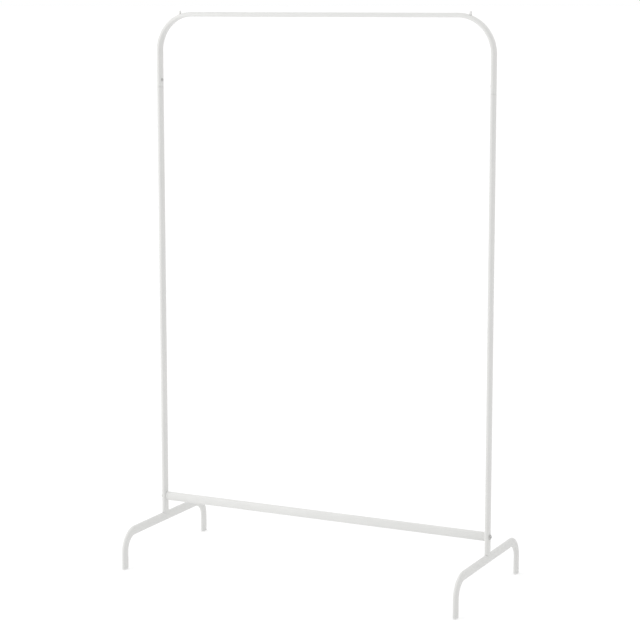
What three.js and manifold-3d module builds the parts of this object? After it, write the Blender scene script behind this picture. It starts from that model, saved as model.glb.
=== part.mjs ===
// Clothes rack: a bent hanging rail on two uprights, an oval crossbar, and two hoop feet on caps.
// Millimetres, +Z up. X runs along the rail, the front is -Y, and the origin is on the floor
// under the middle of the rack.

import * as THREE from "three";
import { mergeVertices } from "three/addons/utils/BufferGeometryUtils.js";
import Module from "manifold-3d";

const wasm = await Module();
wasm.setup();

// Overall size
const rackWidth = 990; // over the outer faces of the uprights
const rackDepth = 460; // over the outer faces of the feet's legs
const railTopHeight = 1515; // floor to the top of the hanging rail

// Rail and upright tube: a flat oval, thin across the rack's face and wide from front to back
const tubeThin = 12;
const tubeWide = 25;
const tubeWall = 1;
const tubeSquareness = 2.5; // 2 is an ellipse, and more is squarer

// Foot tube: a fuller oval of its own, bent on edge
const footThin = 12;
const footWide = 25;
const footWall = 1;
const footSquareness = 2.2;

// Bends, to the tube's centre line
const railBendRadius = 99;
const railLegLength = 98; // straight tube below each bend
const footBendRadius = 50;
const footBarHeight = 99; // floor to the centre of the foot's bar

// Joint between the rail's leg and the upright
const neckLength = 36;
const neckShoulder = 2; // solid step between the bore and the neck
const jointScrewAboveSeam = 19;
const jointScrewDiameter = 5;
const jointHeadDiameter = 9;
const jointHeadHeight = 1.3;
const jointSocketAcross = 3;
const jointSocketDepth = 1.2;
const jointNutAcross = 8;
const jointNutThickness = 4;
const jointScrewPastNut = 0.6;
const jointNutStandOff = 0.6; // from the middle of the neck's crowned wall

// Joint between the upright, the foot and the crossbar
const crossbarHeight = 158; // floor to the crossbar's centre
const crossbarTall = 24; // the crossbar's oval stands on edge
const crossbarThin = 12;
const crossbarWall = 1;
const copeDepth = 6.5; // how far the upright's end reaches down over the foot's bar
const spigotWall = 1.5;
const spigotAboveScrew = 25;
const crossbarScrewDiameter = 5;
const crossbarHeadDiameter = 14;
const crossbarHeadHeight = 3.8;
const crossbarSocketAcross = 4;
const crossbarSocketDepth = 2.2;
const plugFlange = 2.5; // at its thinnest, behind the middle of the upright's face
const plugWrap = 1; // how far the flange's edges reach round the upright
const plugStub = 20;
const plugNutDiameter = 7.2;
const plugNutLength = 12;
const crossbarScrewShortOfNut = 0.6; // its end stays inside the nut

// Hanger stops: upright pins on the bends
const stopPastStraight = 34.5; // from the end of the rail's straight run to the pin's axis
const stopDiameter = 7;
const stopHeight = 10.2; // over the rail's surface, on the pin's axis
const stopRounding = 2.2;
const stopStemDiameter = 4;
const stopStemLength = 4;

// Foot caps
const capFlange = 4;
const capInsert = 14;
const capRounding = 1;

const fitGap = 0.3; // clearance between pieces that touch
const cutPast = 1; // how far a cut runs past the face it opens
const headRim = 0.8; // straight rim under a screw head's dome
const ovalSides = 20;
const smallSides = 16;
const railBendSteps = 10;
const footBendSteps = 8;
const domeSteps = 4;

// Places worked out from the sizes above
const uprightX = (rackWidth - tubeThin) / 2;
const railCentreHeight = railTopHeight - tubeThin / 2;
const railBendHeight = railCentreHeight - railBendRadius;
const seamHeight = railBendHeight - railLegLength;
const legY = (rackDepth - footWide) / 2;
const footBarTop = footBarHeight + footWide / 2;
const footTubeEnd = capFlange + fitGap;
const uprightInnerFace = uprightX - tubeThin / 2;
const jointScrewHeight = seamHeight + jointScrewAboveSeam;
const railBendX = uprightX - railBendRadius;
const railBendOutside = railBendRadius + tubeThin / 2;
const stopSeatHeight = railBendHeight + Math.sqrt(railBendOutside ** 2 - stopPastStraight ** 2);

// Materials
const powderCoat = { color: 0xe8e8e5, roughness: 0.5, metalness: 0.0 };
const whitePlastic = { color: 0xe6e6e3, roughness: 0.6, metalness: 0.0 };
const zincSteel = { color: 0xa9abac, roughness: 0.35, metalness: 0.9 };

const rack = new THREE.Group();

/** Adds one named piece to a parent group and returns its mesh. */
function addPiece(parent, name, geometry, finish) {
  const mesh = new THREE.Mesh(geometry, new THREE.MeshStandardMaterial(finish));
  mesh.name = name;
  parent.add(mesh);
  return mesh;
}

/** A closed geometry as a solid that can be joined and cut. */
function toSolid(geometry) {
  const bare = geometry.clone();
  bare.deleteAttribute("normal");
  bare.deleteAttribute("uv");
  const merged = mergeVertices(bare);
  const vertProperties = new Float32Array(merged.attributes.position.array);
  const triVerts = new Uint32Array(merged.index.array);
  return new wasm.Manifold(new wasm.Mesh({ numProp: 3, vertProperties, triVerts }));
}

/** A joined or cut solid back as a geometry with flat-shaded faces. */
function toGeometry(solid) {
  const mesh = solid.getMesh();
  const geometry = new THREE.BufferGeometry();
  geometry.setAttribute("position", new THREE.BufferAttribute(mesh.vertProperties, 3));
  geometry.setIndex(new THREE.BufferAttribute(mesh.triVerts, 1));
  const faces = geometry.toNonIndexed();
  faces.computeVertexNormals();
  return faces;
}

/** The first geometry with each of the others cut away. */
function cutAway(geometry, cutters) {
  const solid = cutters.reduce((left, cutter) => left.subtract(toSolid(cutter)), toSolid(geometry));
  return toGeometry(solid);
}

/** Two overlapping geometries as one. */
function joinUp(first, second) {
  return toGeometry(toSolid(first).add(toSolid(second)));
}

/** The points of an oval between an ellipse and a rectangle. */
function ovalPoints(sizeX, sizeY, squareness) {
  const reach = (share, size) => (Math.sign(share) * Math.abs(share) ** (2 / squareness) * size) / 2;
  return Array.from({ length: ovalSides }, (_, side) => {
    const angle = (2 * Math.PI * side) / ovalSides;
    return new THREE.Vector2(reach(Math.cos(angle), sizeX), reach(Math.sin(angle), sizeY));
  });
}

/** A tube's section: an oval with a wall, open inside. */
function ovalTubeShape(sizeX, sizeY, squareness, wall) {
  const shape = new THREE.Shape(ovalPoints(sizeX, sizeY, squareness));
  const bore = ovalPoints(sizeX - 2 * wall, sizeY - 2 * wall, squareness).reverse();
  shape.holes.push(new THREE.Path(bore));
  return shape;
}

/** A solid oval bar that stands on Z, from one height to another. */
function ovalBar(sizeX, sizeY, squareness, low, high) {
  const shape = new THREE.Shape(ovalPoints(sizeX, sizeY, squareness));
  const bar = new THREE.ExtrudeGeometry(shape, { depth: high - low, bevelEnabled: false });
  return bar.translate(0, 0, low);
}

/** A round bar along X, centred at a height. */
function crossHole(diameter, fromX, toX, height) {
  const hole = new THREE.CylinderGeometry(diameter / 2, diameter / 2, toX - fromX, smallSides);
  return hole.rotateZ(Math.PI / 2).translate((fromX + toX) / 2, 0, height);
}

/**
 * The centre line of a hoop: up one leg, round a bend, across, round a bend and down the other leg.
 * It has one station at each end of a straight run and even stations round each bend.
 */
class HoopRoute extends THREE.Curve {
  constructor(halfSpan, crownHeight, bendRadius, legEnd, bendSteps, place) {
    super();
    const bendHeight = crownHeight - bendRadius;
    const bendX = halfSpan - bendRadius;
    const point = (x, y) => new THREE.Vector2(x, y);
    const bend = (x, from, to) =>
      new THREE.EllipseCurve(x, bendHeight, bendRadius, bendRadius, from, to, true);
    this.place = place;
    this.runs = [
      { steps: 1, line: new THREE.LineCurve(point(-halfSpan, legEnd), point(-halfSpan, bendHeight)) },
      { steps: bendSteps, line: bend(-bendX, Math.PI, Math.PI / 2) },
      { steps: 1, line: new THREE.LineCurve(point(-bendX, crownHeight), point(bendX, crownHeight)) },
      { steps: bendSteps, line: bend(bendX, Math.PI / 2, 0) },
      { steps: 1, line: new THREE.LineCurve(point(halfSpan, bendHeight), point(halfSpan, legEnd)) },
    ];
    this.stations = this.runs.reduce((total, run) => total + run.steps, 0);
  }

  getUtoTmapping(share) {
    return share;
  }

  getPoint(share, target = new THREE.Vector3()) {
    let station = share * this.stations;
    let run = 0;
    while (run < this.runs.length - 1 && station > this.runs[run].steps) {
      station -= this.runs[run].steps;
      run += 1;
    }
    const flat = this.runs[run].line.getPoint(Math.min(station / this.runs[run].steps, 1));
    return this.place(flat, target);
  }
}

/** An oval tube swept along a hoop. */
function hoopTube(shape, route) {
  return new THREE.ExtrudeGeometry(shape, { steps: route.stations, extrudePath: route });
}

/** A turned piece with its axis along Z, from a profile of [radius, height] pairs. */
function turned(profile, sides) {
  const points = profile.map(([radius, height]) => new THREE.Vector2(radius, height));
  return new THREE.LatheGeometry(points, sides).rotateX(Math.PI / 2);
}

/** A hexagonal bar along Z, from one height to another. */
function hexBar(acrossFlats, low, high) {
  const radius = acrossFlats / Math.sqrt(3);
  const hex = new THREE.CylinderGeometry(radius, radius, high - low, 6);
  return hex.rotateX(Math.PI / 2).translate(0, 0, (low + high) / 2);
}

/** A socket screw on Z, its head's underside at 0 and its shank pointing down. */
function socketScrew(diameter, length, headDiameter, headHeight, socketAcross, socketDepth) {
  const headRadius = headDiameter / 2;
  const dome = Array.from({ length: domeSteps }, (_, step) => {
    const angle = (Math.PI / 2) * (step / domeSteps);
    return [headRadius * Math.cos(angle), headRim + (headHeight - headRim) * Math.sin(angle)];
  });
  const shank = [[0, -length], [diameter / 2, -length], [diameter / 2, 0], [headRadius, 0]];
  const blank = turned([...shank, ...dome, [0, headHeight]], smallSides);
  return cutAway(blank, [hexBar(socketAcross, headHeight - socketDepth, headHeight + cutPast)]);
}

/** The rail's centre line, from the end of one leg to the end of the other. */
function railRoute() {
  const place = (flat, target) => target.set(flat.x, 0, flat.y);
  return new HoopRoute(uprightX, railCentreHeight, railBendRadius, seamHeight, railBendSteps, place);
}

/** The bent hanging rail, with holes for the stops and the two joint screws. */
function buildTopRail() {
  const tube = hoopTube(ovalTubeShape(tubeWide, tubeThin, tubeSquareness, tubeWall), railRoute());
  const holeDiameter = jointScrewDiameter + 2 * fitGap;
  const screwHoles = [-1, 1].map((side) => {
    const ends = [side * uprightX, side * (uprightInnerFace - cutPast)].sort((a, b) => a - b);
    return crossHole(holeDiameter, ends[0], ends[1], jointScrewHeight);
  });
  const stopHoles = [-1, 1].map((side) => {
    const stemHole = stopStemDiameter / 2 + fitGap;
    const hole = new THREE.CylinderGeometry(stemHole, stemHole, tubeThin, smallSides);
    return hole.rotateX(Math.PI / 2).translate(side * (railBendX + stopPastStraight), 0, stopSeatHeight);
  });
  addPiece(rack, "top_rail", cutAway(tube, [...screwHoles, ...stopHoles]), powderCoat);
}

/** An upright pin with a rounded top, seated on one bend, its stem through the rail's wall. */
function buildHangerStop(name, side) {
  const radius = stopDiameter / 2;
  const stem = stopStemDiameter / 2;
  const shoulder = stopHeight - stopRounding;
  const round = Array.from({ length: domeSteps }, (_, step) => {
    const angle = (Math.PI / 2) * (step / domeSteps);
    return [radius - stopRounding * (1 - Math.cos(angle)), shoulder + stopRounding * Math.sin(angle)];
  });
  const top = [radius - stopRounding, stopHeight];
  const head = turned([[0, -radius], [radius, -radius], ...round, top, [0, stopHeight]], smallSides);
  const pegProfile = [[0, -stopStemLength], [stem, -stopStemLength], [stem, radius], [0, radius]];
  const peg = turned(pegProfile, smallSides);
  const axisX = side * (railBendX + stopPastStraight);
  const seat = new THREE.Shape(ovalPoints(tubeWide + 2 * fitGap, tubeThin + 2 * fitGap, tubeSquareness));
  const rail = hoopTube(seat, railRoute()).translate(-axisX, 0, -stopSeatHeight);
  const pin = addPiece(rack, name, joinUp(cutAway(head, [rail]), peg), whitePlastic);
  pin.position.set(axisX, 0, stopSeatHeight);
}

/** An oval bar along Y a little larger than the foot's bar, which shapes what sits on it. */
function footBarCutter() {
  const bar = ovalBar(footThin + 2 * fitGap, footWide + 2 * fitGap, footSquareness, -tubeWide, tubeWide);
  return bar.rotateX(Math.PI / 2).translate(0, 0, footBarHeight);
}

/** One upright in its own place on X = 0: necked at the top, coped over the foot's bar below. */
function buildUpright(name, side) {
  const bodyEnd = seamHeight - fitGap;
  const low = footBarTop - copeDepth;
  const neckInset = 2 * (tubeWall + fitGap);
  const neckThin = tubeThin - neckInset;
  const neckWide = tubeWide - neckInset;
  const boreInset = 2 * tubeWall;
  const body = ovalBar(tubeThin, tubeWide, tubeSquareness, low, bodyEnd);
  const neck = ovalBar(neckThin, neckWide, tubeSquareness, bodyEnd - neckShoulder, seamHeight + neckLength);
  const bodyBore = ovalBar(
    tubeThin - boreInset,
    tubeWide - boreInset,
    tubeSquareness,
    low - cutPast,
    bodyEnd - neckShoulder,
  );
  const neckBore = ovalBar(
    neckThin - boreInset,
    neckWide - boreInset,
    tubeSquareness,
    bodyEnd - neckShoulder - cutPast,
    seamHeight + neckLength + cutPast,
  );
  const jointHole = crossHole(jointScrewDiameter + 2 * fitGap, 0, tubeThin, jointScrewHeight);
  const crossbarHole = crossHole(crossbarScrewDiameter + 2 * fitGap, -tubeThin, tubeThin, crossbarHeight);
  const cutters = [bodyBore, neckBore, jointHole, crossbarHole, footBarCutter()];
  const upright = addPiece(rack, name, cutAway(joinUp(body, neck), cutters), powderCoat);
  upright.position.x = side * uprightX;
  upright.rotation.z = side > 0 ? Math.PI : 0;
}

/** The stub that is welded on the foot's bar and enters the upright's lower end. */
function buildFootSpigot(name, side) {
  const inset = 2 * (tubeWall + fitGap);
  const thin = tubeThin - inset;
  const wide = tubeWide - inset;
  const low = footBarTop - copeDepth;
  const high = crossbarHeight + spigotAboveScrew;
  const outer = ovalBar(thin, wide, tubeSquareness, low, high);
  const boreInset = 2 * spigotWall;
  const bore = ovalBar(thin - boreInset, wide - boreInset, tubeSquareness, low - cutPast, high + cutPast);
  const screwHole = crossHole(crossbarScrewDiameter + 2 * fitGap, -tubeThin, tubeThin, crossbarHeight);
  const spigot = addPiece(rack, name, cutAway(outer, [bore, screwHole, footBarCutter()]), powderCoat);
  spigot.position.x = side * uprightX;
}

/** The screw and nut that hold the rail's leg on the upright's neck, from the rack's inner side. */
function buildNeckJoint(screwName, nutName, side) {
  const neckWallInside = tubeThin / 2 - 2 * tubeWall - fitGap;
  const nutFace = neckWallInside - jointNutStandOff;
  const shank = tubeThin / 2 + fitGap - (nutFace - jointNutThickness) + jointScrewPastNut;
  const joint = new THREE.Group();
  joint.position.set(side * uprightX, 0, jointScrewHeight);
  joint.rotation.y = (-side * Math.PI) / 2;
  rack.add(joint);
  const screwShape = socketScrew(
    jointScrewDiameter,
    shank,
    jointHeadDiameter,
    jointHeadHeight,
    jointSocketAcross,
    jointSocketDepth,
  );
  addPiece(joint, screwName, screwShape, zincSteel).position.z = tubeThin / 2 + fitGap;
  const threadRadius = jointScrewDiameter / 2 + fitGap;
  const thread = new THREE.CylinderGeometry(threadRadius, threadRadius, jointNutThickness * 2, smallSides);
  thread.rotateX(Math.PI / 2);
  const nutShape = cutAway(hexBar(jointNutAcross, -jointNutThickness / 2, jointNutThickness / 2), [thread]);
  addPiece(joint, nutName, nutShape, zincSteel).position.z = nutFace - jointNutThickness / 2;
}

/** The oval tube between the uprights, open at both ends for its plugs. */
function buildCrossbar() {
  const half = uprightInnerFace - 2 * fitGap - plugFlange;
  const boreInset = 2 * crossbarWall;
  const outer = ovalBar(crossbarTall, crossbarThin, tubeSquareness, -half, half);
  const bore = ovalBar(
    crossbarTall - boreInset,
    crossbarThin - boreInset,
    tubeSquareness,
    -half - cutPast,
    half + cutPast,
  );
  const crossbar = addPiece(rack, "crossbar", cutAway(outer, [bore]), powderCoat);
  crossbar.rotation.y = Math.PI / 2;
  crossbar.position.z = crossbarHeight;
}

/** One end of the crossbar: the plug in the tube, its barrel nut and the screw from outside. */
function buildCrossbarEnd(names, side) {
  const end = new THREE.Group();
  end.position.set(side * uprightInnerFace, 0, crossbarHeight);
  end.rotation.y = (side * Math.PI) / 2;
  rack.add(end);

  const stubInset = 2 * (crossbarWall + fitGap);
  const holeRadius = crossbarScrewDiameter / 2 + fitGap;
  const pocketRadius = plugNutDiameter / 2 + fitGap;
  const flangeBack = -fitGap - plugFlange;
  const stubEnd = flangeBack - plugStub;
  const pocketFloor = stubEnd + plugNutLength + fitGap;
  const flange = ovalBar(crossbarTall, crossbarThin, tubeSquareness, flangeBack, plugWrap);
  const stub = ovalBar(
    crossbarTall - stubInset,
    crossbarThin - stubInset,
    tubeSquareness,
    stubEnd,
    flangeBack + plugFlange / 2,
  );
  const holeProfile = [[0, stubEnd], [holeRadius, stubEnd], [holeRadius, tubeThin], [0, tubeThin]];
  const hole = turned(holeProfile, smallSides);
  const pocketStart = stubEnd - cutPast;
  const pocketProfile = [[0, pocketStart], [pocketRadius, pocketStart], [pocketRadius, pocketFloor]];
  const pocket = turned([...pocketProfile, [0, pocketFloor]], smallSides);
  const upright = ovalBar(
    tubeThin + 2 * fitGap,
    tubeWide + 2 * fitGap,
    tubeSquareness,
    -crossbarTall,
    crossbarTall,
  );
  upright.rotateY(Math.PI / 2).translate(0, 0, tubeThin / 2);
  addPiece(end, names.plug, cutAway(joinUp(flange, stub), [upright, hole, pocket]), whitePlastic);

  const nutTop = pocketFloor - fitGap;
  const nutRadius = plugNutDiameter / 2;
  const nutProfile = [
    [holeRadius, nutTop - plugNutLength],
    [nutRadius, nutTop - plugNutLength],
    [nutRadius, nutTop],
    [holeRadius, nutTop],
    [holeRadius, nutTop - plugNutLength],
  ];
  addPiece(end, names.nut, turned(nutProfile, smallSides), zincSteel);

  const headSeat = tubeThin + fitGap;
  const shank = headSeat - nutTop + plugNutLength - crossbarScrewShortOfNut;
  const screwShape = socketScrew(
    crossbarScrewDiameter,
    shank,
    crossbarHeadDiameter,
    crossbarHeadHeight,
    crossbarSocketAcross,
    crossbarSocketDepth,
  );
  addPiece(end, names.screw, screwShape, zincSteel).position.z = headSeat;
}

/** One foot: a tube bent to a hoop that runs from front to back. */
function buildFootTube(name, side) {
  const place = (flat, target) => target.set(0, flat.x, flat.y);
  const route = new HoopRoute(legY, footBarHeight, footBendRadius, footTubeEnd, footBendSteps, place);
  const tube = hoopTube(ovalTubeShape(footWide, footThin, footSquareness, footWall), route);
  addPiece(rack, name, tube, powderCoat).position.x = side * uprightX;
}

/** A cap in a leg's lower end, with a rounded lower edge and an insert that fills the tube. */
function buildFootCap(name, side, end) {
  const inset = 2 * (footWall + fitGap);
  const outline = new THREE.Shape(ovalPoints(footThin, footWide, footSquareness));
  const sole = new THREE.ExtrudeGeometry(outline, {
    depth: capRounding / 2,
    bevelThickness: capRounding,
    bevelSize: capRounding,
    bevelOffset: -capRounding,
    bevelSegments: 2,
  }).translate(0, 0, capRounding);
  const rim = ovalBar(footThin, footWide, footSquareness, capRounding, capFlange);
  const insertTop = capFlange + capInsert;
  const insert = ovalBar(footThin - inset, footWide - inset, footSquareness, capFlange / 2, insertTop);
  const cap = addPiece(rack, name, joinUp(joinUp(sole, rim), insert), whitePlastic);
  cap.position.set(side * uprightX, end * legY, 0);
}

buildTopRail();
buildCrossbar();
for (const [sideName, side] of [["left", -1], ["right", 1]]) {
  buildHangerStop(`hanger_stop_${sideName}`, side);
  buildUpright(`upright_${sideName}`, side);
  buildNeckJoint(`joint_screw_${sideName}`, `joint_nut_${sideName}`, side);
  buildFootTube(`foot_tube_${sideName}`, side);
  buildFootSpigot(`foot_spigot_${sideName}`, side);
  const endNames = {
    plug: `crossbar_end_plug_${sideName}`,
    nut: `crossbar_nut_${sideName}`,
    screw: `crossbar_screw_${sideName}`,
  };
  buildCrossbarEnd(endNames, side);
  for (const [endName, end] of [["front", -1], ["back", 1]]) {
    buildFootCap(`foot_cap_${endName}_${sideName}`, side, end);
  }
}

export default rack;
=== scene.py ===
"""Clothes rack: finished tubes, caps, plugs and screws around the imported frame."""

import math

import bmesh
import bpy
from bpy.props import FloatProperty, FloatVectorProperty, IntProperty, PointerProperty
from mathutils import Matrix, Vector


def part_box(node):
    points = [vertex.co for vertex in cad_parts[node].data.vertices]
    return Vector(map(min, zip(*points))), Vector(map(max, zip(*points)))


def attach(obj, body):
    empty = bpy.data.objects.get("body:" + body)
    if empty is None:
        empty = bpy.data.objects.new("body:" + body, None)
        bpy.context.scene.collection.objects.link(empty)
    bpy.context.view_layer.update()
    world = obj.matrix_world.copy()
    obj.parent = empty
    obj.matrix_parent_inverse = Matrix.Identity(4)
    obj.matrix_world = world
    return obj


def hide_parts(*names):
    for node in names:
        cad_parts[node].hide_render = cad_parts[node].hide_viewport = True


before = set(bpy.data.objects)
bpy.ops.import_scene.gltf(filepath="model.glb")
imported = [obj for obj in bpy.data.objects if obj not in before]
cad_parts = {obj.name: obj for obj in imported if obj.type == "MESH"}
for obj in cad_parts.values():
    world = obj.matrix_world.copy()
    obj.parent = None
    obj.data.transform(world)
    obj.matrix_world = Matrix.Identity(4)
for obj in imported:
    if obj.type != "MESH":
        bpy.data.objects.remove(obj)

bl_info = {
    "name": "Clothes Rack",
    "version": (1, 0, 0),
    "blender": (4, 5, 0),
    "location": "View3D > Sidebar > Rack",
    "description": "Models the finished pieces of a clothes rack and sets its studio",
    "category": "Object",
}

SIDES = {"left": -1.0, "right": 1.0}
ENDS = ("front", "back")
UP = Vector((0.0, 0.0, 1.0))
QUARTER_TURN = math.pi / 2
FULL_TURN = 2 * math.pi
ROOT = "root"
MERGE_DISTANCE = 1e-6
ROUND = 2.0  # squareness of a circle
HEXAGON = 6

# Edges, and the steps that round them
SHADING_EDGE = math.radians(38)  # faces that meet at more than this shade as separate
CUT_END = math.radians(60)  # a square cut end's edges turn more than this
COPED_END = math.radians(50)  # a coped end's edges turn more than this
RIM_SEGMENTS = 2
PLUG_SEGMENTS = 3
SOLE_SEGMENTS = 4
STOP_DOME_STEPS = 8
HEAD_DOME_STEPS = 12

# Screws, as shares of the shank's diameter, the hexagon and the head's height
TIP_RADIUS = 0.4
TIP_LENGTH = 0.1
SOCKET_MOUTH = 1.12  # over the hexagon's corners
SOCKET_LEAD = 0.05

# Patterns of the finishes: sizes and depths in metres, and shades as factors
NOISE_RANGE = (0.3, 0.7)  # where most of a noise's values lie
SOFT_DETAIL = 2.0
BUSY_DETAIL = 3.0
COAT_CLOUD_SIZE = 0.11
COAT_SHADES = (0.985, 1.015)
COAT_GLOSS_SIZE = 0.012
COAT_GLOSS_SPREAD = 0.06
COAT_SPECULAR = 0.25
PLASTIC_CLOUD_SIZE = 0.006
PLASTIC_SHADES = (0.98, 1.02)
PLASTIC_GLOSS_SIZE = 0.002
PLASTIC_ROUGHNESS = (0.48, 0.6)
PLASTIC_GRAIN_SIZE = 0.0004
PLASTIC_GRAIN_DEPTH = 0.00002
PLASTIC_IOR = 1.48
ZINC_CLOUD_SIZE = 0.0025
ZINC_SHADES = (0.88, 1.1)
ZINC_GLOSS_SIZE = 0.0015
ZINC_ROUGHNESS = (0.24, 0.42)
ZINC_GRAIN_SIZE = 0.0003
ZINC_GRAIN_DEPTH = 0.000008

# Studio
FLOOR_CLOUD_SIZE = 0.8
FLOOR_DARK = (0.5, 0.5, 0.5)
FLOOR_LIGHT = (0.52, 0.52, 0.52)
FLOOR_ROUGHNESS = 0.9
CEILING_START = 0.25  # of the ceiling's edge, where the surroundings begin to change
SOFTBOX_PLACE = (-2.6, -2.8, 1.4)
SOFTBOX_TARGET = (-0.3, 0.0, 0.8)
SOFTBOX_SIZE = 2.4
OVERHEAD_SPREAD = math.radians(60)
SENSOR_WIDTH = 36.0  # millimetres

# Material slots, and the inner pieces that keep their shape
STEEL, PLASTIC, ZINC = "powder_coated_steel", "white_plastic", "zinc_plated_steel"
HIDDEN_STEEL = ("foot_spigot_left", "foot_spigot_right")
HIDDEN_ZINC = ("joint_nut_left", "joint_nut_right", "crossbar_nut_left", "crossbar_nut_right")


def node_box(node):
    """A frame node's lowest and highest corner as vectors."""
    low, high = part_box(node)
    return Vector(low), Vector(high)


def node_middle(node):
    """The middle of a frame node's box."""
    low, high = node_box(node)
    return (low + high) / 2


def node_size(node):
    """The size of a frame node's box."""
    low, high = node_box(node)
    return high - low


# ---------------------------------------------------------------------------------------------
# Settings


class RackTubes(bpy.types.PropertyGroup):
    """Sections, bends and cut ends of the rack's tubes."""

    rail_bend_radius: FloatProperty(
        name="Rail Bend Radius",
        description="Radius of the rail's bends, to the tube's centre line",
        default=0.099, min=0.05, max=0.2, unit="LENGTH", subtype="DISTANCE",
    )
    foot_bend_radius: FloatProperty(
        name="Foot Bend Radius",
        description="Radius of the feet's bends, to the tube's centre line",
        default=0.05, min=0.03, max=0.1, unit="LENGTH", subtype="DISTANCE",
    )
    squareness: FloatProperty(
        name="Tube Squareness",
        description="Section of the rail and uprights: 2 is an ellipse, and more is squarer",
        default=2.5, min=2.0, max=6.0,
    )
    foot_squareness: FloatProperty(
        name="Foot Squareness",
        description="Section of the foot tubes: 2 is an ellipse, and more is squarer",
        default=2.2, min=2.0, max=6.0,
    )
    wall: FloatProperty(
        name="Wall",
        description="Wall of every tube",
        default=0.001, min=0.0005, max=0.003, unit="LENGTH", subtype="DISTANCE",
    )
    rim_rounding: FloatProperty(
        name="Rim Rounding",
        description="Rounding of the deburred and coated tube ends",
        default=0.00022, min=0.0, max=0.0004, unit="LENGTH", subtype="DISTANCE",
    )
    fit_gap: FloatProperty(
        name="Fit Gap",
        description="Clearance between pieces that touch",
        default=0.0003, min=0.0, max=0.001, unit="LENGTH", subtype="DISTANCE",
    )
    ring_sides: IntProperty(
        name="Ring Sides",
        description="Sides of a tube's section, a multiple of four",
        default=48, min=16, max=96,
    )
    bend_steps: IntProperty(
        name="Bend Steps",
        description="Steps round each bend",
        default=28, min=8, max=64,
    )


class RackFittings(bpy.types.PropertyGroup):
    """Sizes of the pins, plugs, caps and screws."""

    stop_rounding: FloatProperty(
        name="Stop Rounding",
        description="Rounding of a hanger stop's top",
        default=0.0022, min=0.0005, max=0.0034, unit="LENGTH", subtype="DISTANCE",
    )
    stem_length: FloatProperty(
        name="Stem Length",
        description="Length of a hanger stop's stem below the rail's surface",
        default=0.004, min=0.001, max=0.008, unit="LENGTH", subtype="DISTANCE",
    )
    stem_diameter: FloatProperty(
        name="Stem Diameter",
        description="Diameter of a hanger stop's stem",
        default=0.004, min=0.002, max=0.008, unit="LENGTH", subtype="DISTANCE",
    )
    plug_flange: FloatProperty(
        name="Plug Flange",
        description="Thickness of a plug's flange behind the middle of the upright's face",
        default=0.0025, min=0.001, max=0.005, unit="LENGTH", subtype="DISTANCE",
    )
    plug_rings: IntProperty(
        name="Plug Rings",
        description="Rings of the plug's face, which is shaped to the upright",
        default=4, min=2, max=12,
    )
    plug_rounding: FloatProperty(
        name="Plug Rounding",
        description="Rounding of the plug's flange",
        default=0.00025, min=0.0, max=0.001, unit="LENGTH", subtype="DISTANCE",
    )
    closed_gap: FloatProperty(
        name="Closed Gap",
        description="Gap that shows between a plug or cap and the tube end that it closes",
        default=0.0001, min=0.0, max=0.0003, unit="LENGTH", subtype="DISTANCE",
    )
    cap_flange: FloatProperty(
        name="Cap Flange",
        description="Height of the part of a foot cap that shows under the leg",
        default=0.004, min=0.002, max=0.008, unit="LENGTH", subtype="DISTANCE",
    )
    cap_rounding: FloatProperty(
        name="Cap Rounding",
        description="Rounding of a foot cap's lower edge",
        default=0.001, min=0.0, max=0.002, unit="LENGTH", subtype="DISTANCE",
    )
    crossbar_head: FloatProperty(
        name="Crossbar Screw Head",
        description="Height of the head of a crossbar screw",
        default=0.0038, min=0.002, max=0.006, unit="LENGTH", subtype="DISTANCE",
    )
    joint_head: FloatProperty(
        name="Joint Screw Head",
        description="Height of the head of a joint screw",
        default=0.0013, min=0.001, max=0.005, unit="LENGTH", subtype="DISTANCE",
    )
    head_rim: FloatProperty(
        name="Head Rim",
        description="Straight rim under a screw head's dome",
        default=0.0008, min=0.0003, max=0.002, unit="LENGTH", subtype="DISTANCE",
    )
    crossbar_socket: FloatProperty(
        name="Crossbar Socket",
        description="Width across flats of the hexagon in a crossbar screw",
        default=0.004, min=0.002, max=0.006, unit="LENGTH", subtype="DISTANCE",
    )
    joint_socket: FloatProperty(
        name="Joint Socket",
        description="Width across flats of the hexagon in a joint screw",
        default=0.003, min=0.002, max=0.005, unit="LENGTH", subtype="DISTANCE",
    )
    socket_depth: FloatProperty(
        name="Socket Depth",
        description="Depth of the hexagon socket as a share of the head's height",
        default=0.6, min=0.2, max=0.9, subtype="FACTOR",
    )
    crossbar_shank: FloatProperty(
        name="Crossbar Screw Shank",
        description="Diameter of a crossbar screw's shank",
        default=0.005, min=0.003, max=0.01, unit="LENGTH", subtype="DISTANCE",
    )
    joint_shank: FloatProperty(
        name="Joint Screw Shank",
        description="Diameter of a joint screw's shank",
        default=0.005, min=0.003, max=0.01, unit="LENGTH", subtype="DISTANCE",
    )
    turned_sides: IntProperty(
        name="Turned Sides",
        description="Sides of the turned pieces, a multiple of twelve",
        default=48, min=24, max=96,
    )


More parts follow.
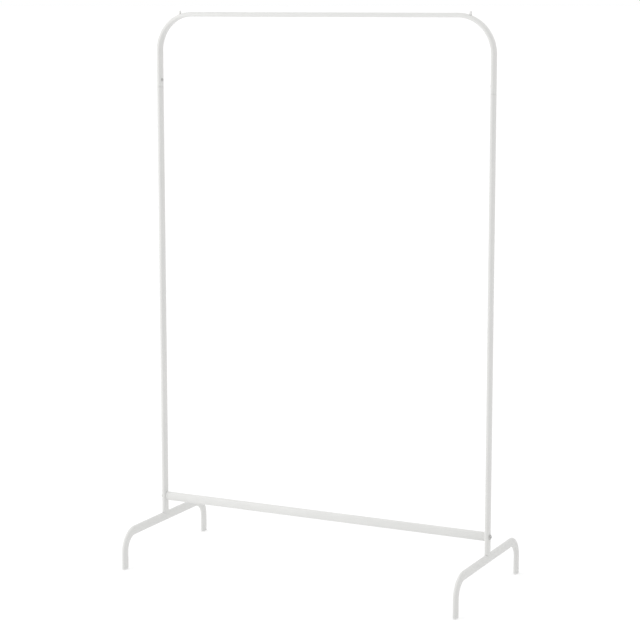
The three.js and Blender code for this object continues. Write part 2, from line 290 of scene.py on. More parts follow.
class RackFinishes(bpy.types.PropertyGroup):
    """Colours and surface detail of the rack's three finishes."""

    coat_colour: FloatVectorProperty(
        name="Coat Colour",
        description="Colour of the powder coat",
        default=(0.68, 0.68, 0.667), size=3, min=0.0, max=1.0, subtype="COLOR",
    )
    coat_roughness: FloatProperty(
        name="Coat Roughness",
        description="Middle roughness of the powder coat",
        default=0.42, min=0.0, max=1.0, subtype="FACTOR",
    )
    peel_size: FloatProperty(
        name="Peel Size",
        description="Size of the ripples in the powder coat",
        default=0.0022, min=0.0005, max=0.01, unit="LENGTH", subtype="DISTANCE",
    )
    peel_depth: FloatProperty(
        name="Peel Depth",
        description="Depth of the ripples in the powder coat",
        default=0.00006, min=0.0, max=0.0005, unit="LENGTH", subtype="DISTANCE",
    )
    plastic_colour: FloatVectorProperty(
        name="Plastic Colour",
        description="Colour of the moulded plastic",
        default=(0.76, 0.76, 0.75), size=3, min=0.0, max=1.0, subtype="COLOR",
    )
    zinc_colour: FloatVectorProperty(
        name="Zinc Colour",
        description="Colour of the plated screws and nuts",
        default=(0.5, 0.5, 0.49), size=3, min=0.0, max=1.0, subtype="COLOR",
    )


class RackStudio(bpy.types.PropertyGroup):
    """Camera, lights and floor."""

    azimuth: FloatProperty(
        name="Azimuth",
        description="Turn of the camera from the rack's front towards its right side",
        default=math.radians(26.21), unit="ROTATION", subtype="ANGLE",
    )
    elevation: FloatProperty(
        name="Elevation",
        description="Angle of the camera above the horizon",
        default=math.radians(8.45), unit="ROTATION", subtype="ANGLE",
    )
    distance: FloatProperty(
        name="Distance",
        description="Distance of the camera from its target",
        default=5.167, unit="LENGTH", subtype="DISTANCE",
    )
    target_height: FloatProperty(
        name="Target Height",
        description="Height of the target on the rack's centre line",
        default=0.7785, unit="LENGTH", subtype="DISTANCE",
    )
    lens: FloatProperty(
        name="Lens",
        description="Focal length of the camera, in millimetres",
        default=108.47, min=20.0, max=300.0,
    )
    lens_rise: FloatProperty(
        name="Lens Rise",
        description="Vertical shift of the lens",
        default=-0.042,
    )
    floor_size: FloatProperty(
        name="Floor Size",
        description="Side of the square floor",
        default=2000.0, unit="LENGTH", subtype="DISTANCE",
    )
    horizon_light: FloatProperty(
        name="Horizon Light",
        description="Brightness of the surroundings near the horizon",
        default=1.0, min=0.0,
    )
    ceiling_light: FloatProperty(
        name="Ceiling Light",
        description="Brightness of the surroundings overhead",
        default=0.7, min=0.0,
    )
    ceiling_edge: FloatProperty(
        name="Ceiling Edge",
        description="Angle above the horizon where the surroundings reach their overhead brightness",
        default=math.radians(35), min=0.0, max=QUARTER_TURN, unit="ROTATION", subtype="ANGLE",
    )
    overhead_power: FloatProperty(
        name="Overhead Power",
        description="Strength of the wide soft light from straight above",
        default=1.0, min=0.0,
    )
    side_power: FloatProperty(
        name="Side Power",
        description="Power of the large softbox at the front left, in watts",
        default=39.0, min=0.0,
    )
    floor_glow: FloatProperty(
        name="Floor Glow",
        description="Light that the floor gives of its own, as a light table does",
        default=0.47, min=0.0,
    )


# ---------------------------------------------------------------------------------------------
# Mesh tools


def ring_verts(ring):
    """The vertices of a ring of edges, each once."""
    return list({vert for edge in ring for vert in edge.verts})


def newest_ring(geometry):
    """The ring of edges among what an extrusion or a spin has just made."""
    verts = {part for part in geometry if isinstance(part, bmesh.types.BMVert)}
    edges = [part for part in geometry if isinstance(part, bmesh.types.BMEdge)]
    return [edge for edge in edges if all(vert in verts for vert in edge.verts)]


def oval_ring(bm, size_x, size_y, squareness, sides, middle):
    """A level ring between an ellipse and a rectangle, with its middle at a point."""
    made = bmesh.ops.create_circle(bm, cap_ends=False, segments=sides, radius=1.0)
    power = 2 / squareness
    for vert in made["verts"]:
        vert.co.x = math.copysign(abs(vert.co.x) ** power, vert.co.x) * size_x / 2
        vert.co.y = math.copysign(abs(vert.co.y) ** power, vert.co.y) * size_y / 2
    bmesh.ops.translate(bm, verts=made["verts"], vec=middle)
    return list({edge for vert in made["verts"] for edge in vert.link_edges})


def push(bm, ring, move):
    """Extrudes a ring and moves what it made; returns the new ring."""
    made = bmesh.ops.extrude_edge_only(bm, edges=ring)["geom"]
    grown = newest_ring(made)
    bmesh.ops.translate(bm, verts=ring_verts(grown), vec=move)
    return grown


def bend(bm, ring, centre, axis, steps):
    """Sweeps a ring through a quarter turn; returns the last ring."""
    made = bmesh.ops.spin(
        bm, geom=ring + ring_verts(ring), cent=centre, axis=axis, dvec=(0, 0, 0),
        angle=QUARTER_TURN, steps=steps, use_merge=False, use_duplicate=False,
    )
    return newest_ring(made["geom_last"])


def sweep_hoop(bm, ring, start, across, leg, radius, span, steps):
    """Sweeps a ring up a leg, round a bend, across, round a bend and down the other leg."""
    axis = UP.cross(across)
    straight = across * (span - 2 * radius)
    centre = start + UP * leg + across * radius
    ring = push(bm, ring, UP * leg)
    ring = bend(bm, ring, centre, axis, steps)
    ring = push(bm, ring, straight)
    ring = bend(bm, ring, centre + straight, axis, steps)
    return push(bm, ring, UP * -leg)


def face_outwards(bm):
    """Merges doubled vertices and turns every face outwards."""
    bmesh.ops.remove_doubles(bm, verts=bm.verts[:], dist=MERGE_DISTANCE)
    bmesh.ops.recalc_face_normals(bm, faces=bm.faces[:])


def give_wall(bm, wall):
    """Gives an open tube its wall, inwards."""
    face_outwards(bm)
    bmesh.ops.solidify(bm, geom=bm.faces[:], thickness=wall)


def sharp_edges(bm, least):
    """The edges whose two faces meet at more than an angle."""
    return [edge for edge in bm.edges if edge.is_manifold and edge.calc_face_angle() > least]


def round_edges(bm, edges, rounding, segments):
    """Rounds edges."""
    bmesh.ops.bevel(
        bm, geom=edges, offset=rounding, offset_type="OFFSET", segments=segments,
        profile=0.5, affect="EDGES", material=-1,
    )


def turned(bm, profile, sides):
    """A body turned about Z from a profile of (radius, height) points."""
    verts = [bm.verts.new((radius, 0.0, height)) for radius, height in profile]
    edges = [bm.edges.new(pair) for pair in zip(verts, verts[1:])]
    bmesh.ops.spin(
        bm, geom=verts + edges, cent=(0, 0, 0), axis=UP, dvec=(0, 0, 0),
        angle=FULL_TURN, steps=sides, use_merge=True, use_duplicate=False,
    )
    face_outwards(bm)


def dome(radius, low, high, steps):
    """Profile points of a dome from its rim towards its top, without the top itself."""
    angles = [QUARTER_TURN * step / steps for step in range(steps)]
    return [(radius * math.cos(a), low + (high - low) * math.sin(a)) for a in angles]


def place(bm, matrix):
    """Puts everything in a bmesh in its place."""
    bmesh.ops.transform(bm, matrix=matrix, verts=bm.verts[:])


def finish_piece(bm, name, material, node):
    """Makes an object of a bmesh, shades it, and lets it stand for a frame node."""
    bmesh.ops.recalc_face_normals(bm, faces=bm.faces[:])
    mesh = bpy.data.meshes.new(name)
    bm.to_mesh(mesh)
    bm.free()
    mesh.shade_smooth()
    mesh.set_sharp_from_angle(angle=SHADING_EDGE)
    mesh.materials.append(material)
    piece = bpy.data.objects.new(name, mesh)
    bpy.context.scene.collection.objects.link(piece)
    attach(piece, ROOT)
    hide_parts(node)


# ---------------------------------------------------------------------------------------------
# Finishes


def new_material(name):
    """A material with its principled shader and its object coordinates."""
    material = bpy.data.materials.new(name)
    material.use_nodes = True
    nodes = material.node_tree.nodes
    shader = next(node for node in nodes if node.type == "BSDF_PRINCIPLED")
    return material, shader, nodes.new("ShaderNodeTexCoord").outputs["Object"]


def noise(material, coordinates, size, detail):
    """Noise whose features have a size in metres."""
    node = material.node_tree.nodes.new("ShaderNodeTexNoise")
    node.inputs["Scale"].default_value = 1 / size
    node.inputs["Detail"].default_value = detail
    material.node_tree.links.new(coordinates, node.inputs["Vector"])
    return node.outputs["Fac"]


def spread(material, value, low, high):
    """A noise value spread from its usual range over a new one."""
    node = material.node_tree.nodes.new("ShaderNodeMapRange")
    node.inputs["From Min"].default_value, node.inputs["From Max"].default_value = NOISE_RANGE
    node.inputs["To Min"].default_value = low
    node.inputs["To Max"].default_value = high
    material.node_tree.links.new(value, node.inputs["Value"])
    return node.outputs["Result"]


def tint(material, value, first, second):
    """A colour between two, by a value."""
    node = material.node_tree.nodes.new("ShaderNodeMix")
    node.data_type = "RGBA"
    first_socket, second_socket = [s for s in node.inputs if s.type == "RGBA"]
    first_socket.default_value = (*first, 1.0)
    second_socket.default_value = (*second, 1.0)
    material.node_tree.links.new(value, node.inputs["Factor"])
    return next(s for s in node.outputs if s.type == "RGBA")


def bump(material, height, distance):
    """A bump of a real depth."""
    node = material.node_tree.nodes.new("ShaderNodeBump")
    node.inputs["Distance"].default_value = distance
    material.node_tree.links.new(height, node.inputs["Height"])
    return node.outputs["Normal"]


def cloudy(material, at, size, detail, colour, shades):
    """A colour that drifts between a darker and a lighter shade."""
    cloud = spread(material, noise(material, at, size, detail), 0.0, 1.0)
    darker, lighter = [tuple(channel * shade for channel in colour) for shade in shades]
    return tint(material, cloud, darker, lighter)


def powder_coat(finishes):
    """White powder coat: a satin film with fine ripples and slightly uneven gloss."""
    material, shader, at = new_material("powder_coat")
    link = material.node_tree.links.new
    colour = cloudy(material, at, COAT_CLOUD_SIZE, SOFT_DETAIL, finishes.coat_colour, COAT_SHADES)
    link(colour, shader.inputs["Base Color"])
    gloss = noise(material, at, COAT_GLOSS_SIZE, BUSY_DETAIL)
    smoothest = finishes.coat_roughness - COAT_GLOSS_SPREAD
    roughest = finishes.coat_roughness + COAT_GLOSS_SPREAD
    link(spread(material, gloss, smoothest, roughest), shader.inputs["Roughness"])
    ripples = noise(material, at, finishes.peel_size, SOFT_DETAIL)
    link(bump(material, ripples, finishes.peel_depth), shader.inputs["Normal"])
    shader.inputs["Specular IOR Level"].default_value = COAT_SPECULAR
    return material


def moulded_plastic(finishes):
    """White moulded plastic with a fine sparked grain."""
    material, shader, at = new_material("moulded_plastic")
    link = material.node_tree.links.new
    colour = cloudy(
        material, at, PLASTIC_CLOUD_SIZE, SOFT_DETAIL, finishes.plastic_colour, PLASTIC_SHADES,
    )
    link(colour, shader.inputs["Base Color"])
    gloss = noise(material, at, PLASTIC_GLOSS_SIZE, SOFT_DETAIL)
    link(spread(material, gloss, *PLASTIC_ROUGHNESS), shader.inputs["Roughness"])
    grain = noise(material, at, PLASTIC_GRAIN_SIZE, SOFT_DETAIL)
    link(bump(material, grain, PLASTIC_GRAIN_DEPTH), shader.inputs["Normal"])
    shader.inputs["IOR"].default_value = PLASTIC_IOR
    return material


def zinc_plate(finishes):
    """Bright zinc plating: a grey metal with a cloudy gloss and fine scratches."""
    material, shader, at = new_material("zinc_plate")
    link = material.node_tree.links.new
    colour = cloudy(material, at, ZINC_CLOUD_SIZE, BUSY_DETAIL, finishes.zinc_colour, ZINC_SHADES)
    link(colour, shader.inputs["Base Color"])
    gloss = noise(material, at, ZINC_GLOSS_SIZE, BUSY_DETAIL)
    link(spread(material, gloss, *ZINC_ROUGHNESS), shader.inputs["Roughness"])
    scratches = noise(material, at, ZINC_GRAIN_SIZE, SOFT_DETAIL)
    link(bump(material, scratches, ZINC_GRAIN_DEPTH), shader.inputs["Normal"])
    shader.inputs["Metallic"].default_value = 1.0
    return material


FINISH_MAKERS = {STEEL: powder_coat, PLASTIC: moulded_plastic, ZINC: zinc_plate}
FINISH_NAMES = {STEEL: "powder_coat", PLASTIC: "moulded_plastic", ZINC: "zinc_plate"}


def finish_of(context, slot):
    """The material of a slot, made the first time it is asked for."""
    ready = bpy.data.materials.get(FINISH_NAMES[slot])
    return ready or FINISH_MAKERS[slot](context.scene.rack_finishes)


# ---------------------------------------------------------------------------------------------
# Pieces


class RACK_OT_top_rail(bpy.types.Operator):
    """Models the hanging rail, one tube with two large bends"""

    bl_idname = "rack.top_rail"
    bl_label = "Top Rail"

    def execute(self, context):
        tubes = context.scene.rack_tubes
        low, high = node_box("top_rail")
        thin = node_size("upright_left").x
        span = high.x - low.x - thin
        start = Vector((low.x + thin / 2, 0.0, low.z))
        leg = high.z - thin / 2 - tubes.rail_bend_radius - low.z
        bm = bmesh.new()
        ring = oval_ring(bm, thin, high.y - low.y, tubes.squareness, tubes.ring_sides, start)
        across = Vector((1.0, 0.0, 0.0))
        sweep_hoop(bm, ring, start, across, leg, tubes.rail_bend_radius, span, tubes.bend_steps)
        give_wall(bm, tubes.wall)
        round_edges(bm, sharp_edges(bm, CUT_END), tubes.rim_rounding, RIM_SEGMENTS)
        finish_piece(bm, "finished_top_rail", finish_of(context, STEEL), "top_rail")
        return {"FINISHED"}


def oval_height(offset, half_across, half_high, squareness):
    """Height of an oval's outline over its centre, at an offset across it."""
    share = min(abs(offset) / half_across, 1.0)
    return half_high * (1 - share ** squareness) ** (1 / squareness)


def rail_height(point, tubes):
    """Height of the rail's bend under a point of a stop, with the clearance between them."""
    low, high = node_box("top_rail")
    half_thin = node_size("upright_left").x / 2
    bend_x = high.x - half_thin - tubes.rail_bend_radius
    bend_z = high.z - half_thin - tubes.rail_bend_radius
    half_wide = (high.y - low.y) / 2
    crown = oval_height(point.y, half_wide + tubes.fit_gap, half_thin + tubes.fit_gap, tubes.squareness)
    along = max(abs(point.x) - bend_x, 0.0)
    return bend_z + math.sqrt((tubes.rail_bend_radius + crown) ** 2 - along ** 2)


class RACK_OT_uprights(bpy.types.Operator):
    """Models the two uprights: a necked upper end and a lower end coped to the foot's bar"""

    bl_idname = "rack.uprights"
    bl_label = "Uprights"

    def execute(self, context):
        tubes = context.scene.rack_tubes
        for side in SIDES:
            node = f"upright_{side}"
            low, high = node_box(node)
            middle = node_middle(node)
            shoulder = node_box("top_rail")[0].z - tubes.fit_gap
            coped_end = (node_box(f"foot_tube_{side}")[1].z - low.z) * 2
            bm = bmesh.new()
            start = Vector((middle.x, middle.y, low.z))
            size = high - low
            ring = oval_ring(bm, size.x, size.y, tubes.squareness, tubes.ring_sides, start)
            ring = push(bm, ring, UP * coped_end)
            ring = push(bm, ring, UP * (shoulder - low.z - coped_end))
            ring = push(bm, ring, UP * 0.0)
            inset = 2 * (tubes.wall + tubes.fit_gap)
            shrink = ((size.x - inset) / size.x, (size.y - inset) / size.y, 1.0)
            about = Matrix.Translation((-middle.x, -middle.y, 0.0))
            bmesh.ops.scale(bm, verts=ring_verts(ring), vec=shrink, space=about)
            push(bm, ring, UP * (high.z - shoulder))
            give_wall(bm, tubes.wall)
            self.cope(bm, side, low.z, tubes)
            round_edges(bm, sharp_edges(bm, COPED_END), tubes.rim_rounding, RIM_SEGMENTS)
            finish_piece(bm, f"finished_{node}", finish_of(context, STEEL), node)
        return {"FINISHED"}

    def cope(self, bm, side, lowest, tubes):
        """Shapes an upright's lower end to the bar that it stands on."""
        bar_low, bar_high = node_box(f"foot_tube_{side}")
        cap_wide = node_size(f"foot_cap_front_{side}").y
        half_thin = (bar_high.x - bar_low.x) / 2 + tubes.fit_gap
        half_wide = cap_wide / 2 + tubes.fit_gap
        bar_middle = (bar_low.x + bar_high.x) / 2
        bar_centre = bar_high.z - cap_wide / 2
        for vert in bm.verts:
            if vert.co.z < lowest + tubes.fit_gap:
                offset = vert.co.x - bar_middle
                saddle = oval_height(offset, half_thin, half_wide, tubes.foot_squareness)
                vert.co.z = max(lowest, bar_centre + saddle)


class RACK_OT_foot_tubes(bpy.types.Operator):
    """Models the two feet, each a tube bent to a hoop"""

    bl_idname = "rack.foot_tubes"
    bl_label = "Foot Tubes"

    def execute(self, context):
        tubes = context.scene.rack_tubes
        for side in SIDES:
            node = f"foot_tube_{side}"
            low, high = node_box(node)
            wide = node_size(f"foot_cap_front_{side}").y
            middle = node_middle(node)
            start = Vector((middle.x, low.y + wide / 2, low.z))
            leg = high.z - wide / 2 - tubes.foot_bend_radius - low.z
            span = high.y - low.y - wide
            bm = bmesh.new()
            ring = oval_ring(bm, high.x - low.x, wide, tubes.foot_squareness, tubes.ring_sides, start)
            across = Vector((0.0, 1.0, 0.0))
            sweep_hoop(bm, ring, start, across, leg, tubes.foot_bend_radius, span, tubes.bend_steps)
            give_wall(bm, tubes.wall)
            round_edges(bm, sharp_edges(bm, CUT_END), tubes.rim_rounding, RIM_SEGMENTS)
            finish_piece(bm, f"finished_{node}", finish_of(context, STEEL), node)
        return {"FINISHED"}


class RACK_OT_crossbar(bpy.types.Operator):
    """Models the crossbar, an oval tube on edge"""

    bl_idname = "rack.crossbar"
    bl_label = "Crossbar"

    def execute(self, context):
        tubes = context.scene.rack_tubes
        low, high = node_box("crossbar")
        size = high - low
        bm = bmesh.new()
        ring = oval_ring(bm, size.z, size.y, tubes.squareness, tubes.ring_sides, Vector())
        push(bm, ring, UP * size.x)
        give_wall(bm, tubes.wall)
        round_edges(bm, sharp_edges(bm, CUT_END), tubes.rim_rounding, RIM_SEGMENTS)
        end = Vector((low.x, 0.0, node_middle("crossbar").z))
        place(bm, Matrix.Translation(end) @ Matrix.Rotation(QUARTER_TURN, 4, "Y"))
        finish_piece(bm, "finished_crossbar", finish_of(context, STEEL), "crossbar")
        return {"FINISHED"}


class RACK_OT_end_plugs(bpy.types.Operator):
    """Models the plugs in the crossbar's ends"""

    bl_idname = "rack.end_plugs"
    bl_label = "Crossbar End Plugs"

    def execute(self, context):
        tubes = context.scene.rack_tubes
        fittings = context.scene.rack_fittings
        for side, sign in SIDES.items():
            node = f"crossbar_end_plug_{side}"
            low, high = node_box(node)
            nut_low, nut_high = node_box(f"crossbar_nut_{side}")
            bar = node_size("crossbar").x / 2
            face = bar + fittings.plug_flange + 2 * tubes.fit_gap
            back = fittings.plug_flange + 2 * tubes.fit_gap - fittings.closed_gap
            wrap = max(abs(low.x), abs(high.x)) - face
            stub_end = face - min(abs(low.x), abs(high.x))
            pocket_floor = face - max(abs(nut_low.x), abs(nut_high.x)) - tubes.fit_gap
            inset = 2 * (tubes.wall + tubes.fit_gap)
            outer = Vector((high.z - low.z, high.y - low.y))
            stub = outer - Vector((inset, inset))
            hole = Vector((1.0, 1.0)) * (fittings.crossbar_shank + 2 * tubes.fit_gap)
            pocket = Vector((1.0, 1.0)) * (nut_high.z - nut_low.z + 2 * tubes.fit_gap)
            sections = [(hole, ROUND, -pocket_floor), (pocket, ROUND, -pocket_floor)]
            sections += [(pocket, ROUND, -stub_end), (stub, tubes.squareness, -stub_end)]
            sections += [(stub, tubes.squareness, -back), (outer, tubes.squareness, -back)]
            flange_back = len(sections) - 1
            for step in range(fittings.plug_rings + 1):
                share = step / fittings.plug_rings
                squareness = tubes.squareness + (ROUND - tubes.squareness) * share
                sections.append((outer.lerp(hole, share), squareness, wrap))
            bm = bmesh.new()
            rings = [
                oval_ring(bm, size.x, size.y, squareness, tubes.ring_sides, UP * height)
                for size, squareness, height in sections
            ]
            for ring, following in zip(rings, rings[1:] + rings[:1]):
                bmesh.ops.bridge_loops(bm, edges=ring + following)
            self.fit_upright(bm, wrap, node_size(f"upright_{side}"), tubes)
            flange_rims = rings[flange_back] + rings[flange_back + 1]
            round_edges(bm, flange_rims, fittings.plug_rounding, PLUG_SEGMENTS)
            end = Vector((sign * face, 0.0, node_middle(node).z))
            place(bm, Matrix.Translation(end) @ Matrix.Rotation(sign * QUARTER_TURN, 4, "Y"))
            finish_piece(bm, f"finished_{node}", finish_of(context, PLASTIC), node)
        return {"FINISHED"}

    def fit_upright(self, bm, wrap, upright, tubes):
        """Shapes a plug's face to the oval tube that it bears on."""
        half_thin = upright.x / 2 + tubes.fit_gap
        half_wide = upright.y / 2 + tubes.fit_gap
        for vert in bm.verts:
            if vert.co.z > wrap - MERGE_DISTANCE:
                surface = oval_height(vert.co.y, half_wide, half_thin, tubes.squareness)
                vert.co.z = min(wrap, upright.x / 2 - surface)


class RACK_OT_hanger_stops(bpy.types.Operator):
    """Models the two pins that keep hangers on the rail"""

    bl_idname = "rack.hanger_stops"
    bl_label = "Hanger Stops"

    def execute(self, context):
        tubes = context.scene.rack_tubes
        fittings = context.scene.rack_fittings
        for side in SIDES:
            node = f"hanger_stop_{side}"
            low, high = node_box(node)
            middle = node_middle(node)
            radius = (high.y - low.y) / 2
            stem = fittings.stem_diameter / 2
            height = high.z - low.z
            seat = fittings.stem_length
            shoulder = height - fittings.stop_rounding
            dome_points = dome(fittings.stop_rounding, shoulder, height, STOP_DOME_STEPS)
            core = radius - fittings.stop_rounding
            profile = [(0.0, 0.0), (stem, 0.0), (stem, seat), ((stem + radius) / 2, seat), (radius, seat)]
            profile += [(core + point[0], point[1]) for point in dome_points]
            profile += [(core, height), (0.0, height)]
            bm = bmesh.new()
            turned(bm, profile, fittings.turned_sides)
            place(bm, Matrix.Translation((middle.x, middle.y, low.z)))
            seated = [vert for vert in bm.verts if abs(vert.co.z - low.z - seat) < MERGE_DISTANCE]
            for vert in seated:
                vert.co.z = rail_height(vert.co, tubes)
            outermost = radius - MERGE_DISTANCE
            rim_verts = {vert for vert in seated if (vert.co.xy - middle.xy).length > outermost}
            foot_rim = [edge for edge in bm.edges if rim_verts.issuperset(edge.verts)]
            round_edges(bm, foot_rim, tubes.rim_rounding, RIM_SEGMENTS)
            finish_piece(bm, f"finished_{node}", finish_of(context, PLASTIC), node)
        return {"FINISHED"}


class RACK_OT_foot_caps(bpy.types.Operator):
    """Models the four caps that the rack stands on"""

    bl_idname = "rack.foot_caps"
    bl_label = "Foot Caps"

    def execute(self, context):
        tubes = context.scene.rack_tubes
        fittings = context.scene.rack_fittings
        for side in SIDES:
            for end in ENDS:
                node = f"foot_cap_{end}_{side}"
                low, high = node_box(node)
                size = high - low
                middle = node_middle(node)
                base = Vector((middle.x, middle.y, low.z))
                bm = bmesh.new()
                ring = oval_ring(bm, size.x, size.y, tubes.foot_squareness, tubes.ring_sides, base)
                bmesh.ops.contextual_create(bm, geom=ring)
                flange = fittings.cap_flange + tubes.fit_gap - fittings.closed_gap
                ring = push(bm, ring, UP * flange)
                inset = 2 * (tubes.wall + tubes.fit_gap)
                ring = push(bm, ring, UP * 0.0)
                shrink = ((size.x - inset) / size.x, (size.y - inset) / size.y, 1.0)
                about = Matrix.Translation((-middle.x, -middle.y, 0.0))
                bmesh.ops.scale(bm, verts=ring_verts(ring), vec=shrink, space=about)
                ring = push(bm, ring, UP * (size.z - flange))
                bmesh.ops.contextual_create(bm, geom=ring)
                bmesh.ops.recalc_face_normals(bm, faces=bm.faces[:])
                sole = [
                    edge for edge in sharp_edges(bm, CUT_END)
                    if all(vert.co.z < low.z + MERGE_DISTANCE for vert in edge.verts)
                ]
                round_edges(bm, sole, fittings.cap_rounding, SOLE_SEGMENTS)
                finish_piece(bm, f"finished_{node}", finish_of(context, PLASTIC), node)
        return {"FINISHED"}


def hexagon_ring(bm, across, sides, height):
    """A level ring of many vertices that lie on a hexagon."""
    made = bmesh.ops.create_circle(bm, cap_ends=False, segments=sides, radius=1.0)
    sixth = FULL_TURN / HEXAGON
    for vert in made["verts"]:
        angle = math.atan2(vert.co.y, vert.co.x)
        off_flat = (angle % sixth) - sixth / 2
        vert.co *= across / 2 / math.cos(off_flat)
        vert.co.z = height
    return list({edge for vert in made["verts"] for edge in vert.link_edges})


def socket_screw(bm, shank, length, head, height, rim, socket, socket_depth, sides):
    """A round-headed screw on Z with its head's underside at 0, and a hexagon socket in the head."""
    mouth = socket / math.sqrt(3) * SOCKET_MOUTH
    profile = [(0.0, -length), (shank * TIP_RADIUS, -length)]
    profile += [(shank / 2, -length + shank * TIP_LENGTH), (shank / 2, 0.0), (head / 2, 0.0)]
    profile += [point for point in dome(head / 2, rim, height, HEAD_DOME_STEPS) if point[0] > mouth]
    top = rim + (height - rim) * math.sqrt(1 - (mouth / (head / 2)) ** 2)
    profile += [(mouth, top)]
    turned(bm, profile, sides)
    mouth_ring = [edge for edge in bm.edges if edge.is_boundary]
    socket_ring = hexagon_ring(bm, socket, sides, top - height * SOCKET_LEAD)
    bmesh.ops.bridge_loops(bm, edges=mouth_ring + socket_ring)
    floor_ring = push(bm, socket_ring, UP * -socket_depth * height)
    bmesh.ops.contextual_create(bm, geom=floor_ring)
    face_outwards(bm)


class RACK_OT_screws(bpy.types.Operator):
    """Models the four socket screws"""

    bl_idname = "rack.screws"
    bl_label = "Screws"

    def execute(self, context):
        fittings = context.scene.rack_fittings
        kinds = {
            "crossbar_screw": (
                1.0, fittings.crossbar_shank, fittings.crossbar_head, fittings.crossbar_socket,
            ),
            "joint_screw": (
                -1.0, fittings.joint_shank, fittings.joint_head, fittings.joint_socket,
            ),
        }
        for kind, (outwards, shank, height, socket) in kinds.items():
            for side, sign in SIDES.items():
                node = f"{kind}_{side}"
                low, high = node_box(node)
                size = high - low
                facing = sign * outwards
                seat = high.x - height if facing > 0 else low.x + height
                bm = bmesh.new()
                socket_screw(
                    bm, shank, size.x - height, size.z, height, fittings.head_rim,
                    socket, fittings.socket_depth, fittings.turned_sides,
                )
                at = Vector((seat, 0.0, node_middle(node).z))
                place(bm, Matrix.Translation(at) @ Matrix.Rotation(facing * QUARTER_TURN, 4, "Y"))
                finish_piece(bm, f"finished_{node}", finish_of(context, ZINC), node)
        return {"FINISHED"}


class RACK_OT_inner_parts(bpy.types.Operator):
    """Finishes the nuts and spigots inside the tubes, which keep their shape"""

    bl_idname = "rack.inner_parts"
    bl_label = "Inner Parts"

    def execute(self, context):
        for slot, nodes in ((STEEL, HIDDEN_STEEL), (ZINC, HIDDEN_ZINC)):
            for node in nodes:
                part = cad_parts[node]
                part.data.materials.clear()
                part.data.materials.append(finish_of(context, slot))
        return {"FINISHED"}


# ---------------------------------------------------------------------------------------------
# Studio


def area_light(name, location, target, size, power):
    """A square soft light that points at a target."""
    data = bpy.data.lights.new(name, "AREA")
    data.size = size
    data.energy = power
    light = bpy.data.objects.new(name, data)
    light.location = location
    light.rotation_euler = (Vector(target) - Vector(location)).to_track_quat("-Z", "Y").to_euler()
    bpy.context.scene.collection.objects.link(light)


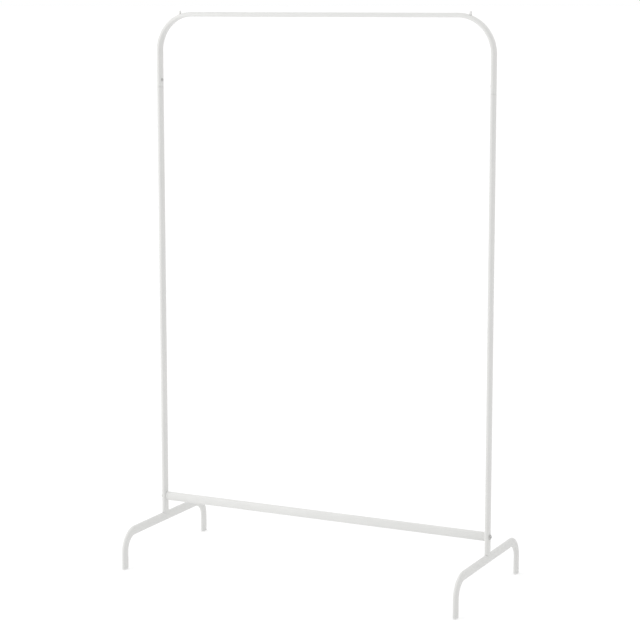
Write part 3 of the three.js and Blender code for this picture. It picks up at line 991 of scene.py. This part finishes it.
class RACK_OT_studio(bpy.types.Operator):
    """Sets the floor, the lights and the camera"""

    bl_idname = "rack.studio"
    bl_label = "Studio"

    def execute(self, context):
        studio = context.scene.rack_studio
        self.lay_floor(studio)
        self.light_up(context, studio)
        self.set_camera(context, studio)
        context.scene.view_settings.view_transform = "Standard"
        return {"FINISHED"}

    def lay_floor(self, studio):
        """A wide pale floor."""
        bm = bmesh.new()
        bmesh.ops.create_grid(bm, x_segments=1, y_segments=1, size=studio.floor_size / 2)
        mesh = bpy.data.meshes.new("studio_floor")
        bm.to_mesh(mesh)
        bm.free()
        material, shader, at = new_material("studio_floor")
        cloud = spread(material, noise(material, at, FLOOR_CLOUD_SIZE, SOFT_DETAIL), 0.0, 1.0)
        colour = tint(material, cloud, FLOOR_DARK, FLOOR_LIGHT)
        material.node_tree.links.new(colour, shader.inputs["Base Color"])
        shader.inputs["Emission Color"].default_value = (1.0, 1.0, 1.0, 1.0)
        shader.inputs["Emission Strength"].default_value = studio.floor_glow
        shader.inputs["Roughness"].default_value = FLOOR_ROUGHNESS
        mesh.materials.append(material)
        floor = bpy.data.objects.new("studio_floor", mesh)
        bpy.context.scene.collection.objects.link(floor)

    def light_up(self, context, studio):
        """Even light from all round, with a large soft light from the left and one from above."""
        world = bpy.data.worlds.new("studio_surroundings")
        world.use_nodes = True
        tree = world.node_tree
        backdrop = tree.nodes["Background"]
        backdrop.inputs["Color"].default_value = (1.0, 1.0, 1.0, 1.0)
        heading = tree.nodes.new("ShaderNodeTexCoord").outputs["Generated"]
        split = tree.nodes.new("ShaderNodeSeparateXYZ")
        rise = tree.nodes.new("ShaderNodeMapRange")
        rise.interpolation_type = "SMOOTHSTEP"
        rise.inputs["From Min"].default_value = math.sin(studio.ceiling_edge * CEILING_START)
        rise.inputs["From Max"].default_value = math.sin(studio.ceiling_edge)
        rise.inputs["To Min"].default_value = studio.horizon_light
        rise.inputs["To Max"].default_value = studio.ceiling_light
        tree.links.new(heading, split.inputs["Vector"])
        tree.links.new(split.outputs["Z"], rise.inputs["Value"])
        tree.links.new(rise.outputs["Result"], backdrop.inputs["Strength"])
        context.scene.world = world
        area_light("left_softbox", SOFTBOX_PLACE, SOFTBOX_TARGET, SOFTBOX_SIZE, studio.side_power)
        sun = bpy.data.lights.new("overhead_light", "SUN")
        sun.energy = studio.overhead_power
        sun.angle = OVERHEAD_SPREAD
        overhead = bpy.data.objects.new("overhead_light", sun)
        context.scene.collection.objects.link(overhead)

    def set_camera(self, context, studio):
        """A camera on an arc round the rack's centre line."""
        data = bpy.data.cameras.new("studio_camera")
        data.lens = studio.lens
        data.sensor_width = SENSOR_WIDTH
        data.shift_y = studio.lens_rise
        turn = Matrix.Rotation(studio.azimuth, 4, "Z")
        tilt = Matrix.Rotation(QUARTER_TURN - studio.elevation, 4, "X")
        back = Matrix.Translation((0.0, 0.0, studio.distance))
        camera = bpy.data.objects.new("studio_camera", data)
        camera.matrix_world = Matrix.Translation(UP * studio.target_height) @ turn @ tilt @ back
        context.scene.collection.objects.link(camera)
        context.scene.camera = camera


OPERATORS = (
    RACK_OT_top_rail,
    RACK_OT_uprights,
    RACK_OT_foot_tubes,
    RACK_OT_crossbar,
    RACK_OT_end_plugs,
    RACK_OT_hanger_stops,
    RACK_OT_foot_caps,
    RACK_OT_screws,
    RACK_OT_inner_parts,
    RACK_OT_studio,
)


SETTINGS = {
    "rack_tubes": RackTubes,
    "rack_fittings": RackFittings,
    "rack_finishes": RackFinishes,
    "rack_studio": RackStudio,
}


class RACK_PT_sidebar(bpy.types.Panel):
    """Lists the rack's pieces and settings"""

    bl_idname = "RACK_PT_sidebar"
    bl_label = "Clothes Rack"
    bl_space_type = "VIEW_3D"
    bl_region_type = "UI"
    bl_category = "Rack"

    def draw(self, context):
        column = self.layout.column(align=True)
        for operator in OPERATORS:
            column.operator(operator.bl_idname)
        for settings_name in SETTINGS:
            settings = getattr(context.scene, settings_name)
            box = self.layout.box()
            for name in settings.bl_rna.properties.keys():
                if name not in {"rna_type", "name"}:
                    box.prop(settings, name)


def register():
    """Registers the settings, the operators and the panel."""
    for name, group in SETTINGS.items():
        bpy.utils.register_class(group)
        setattr(bpy.types.Scene, name, PointerProperty(type=group))
    for operator in OPERATORS:
        bpy.utils.register_class(operator)
    bpy.utils.register_class(RACK_PT_sidebar)


def unregister():
    """Takes back what register has added."""
    bpy.utils.unregister_class(RACK_PT_sidebar)
    for operator in reversed(OPERATORS):
        bpy.utils.unregister_class(operator)
    for name, group in reversed(SETTINGS.items()):
        delattr(bpy.types.Scene, name)
        bpy.utils.unregister_class(group)


def main():
    """Builds the rack and its studio."""
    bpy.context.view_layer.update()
    register()
    for operator in OPERATORS:
        family, action = operator.bl_idname.split(".")
        getattr(getattr(bpy.ops, family), action)()


if __name__ == "__main__":
    main()
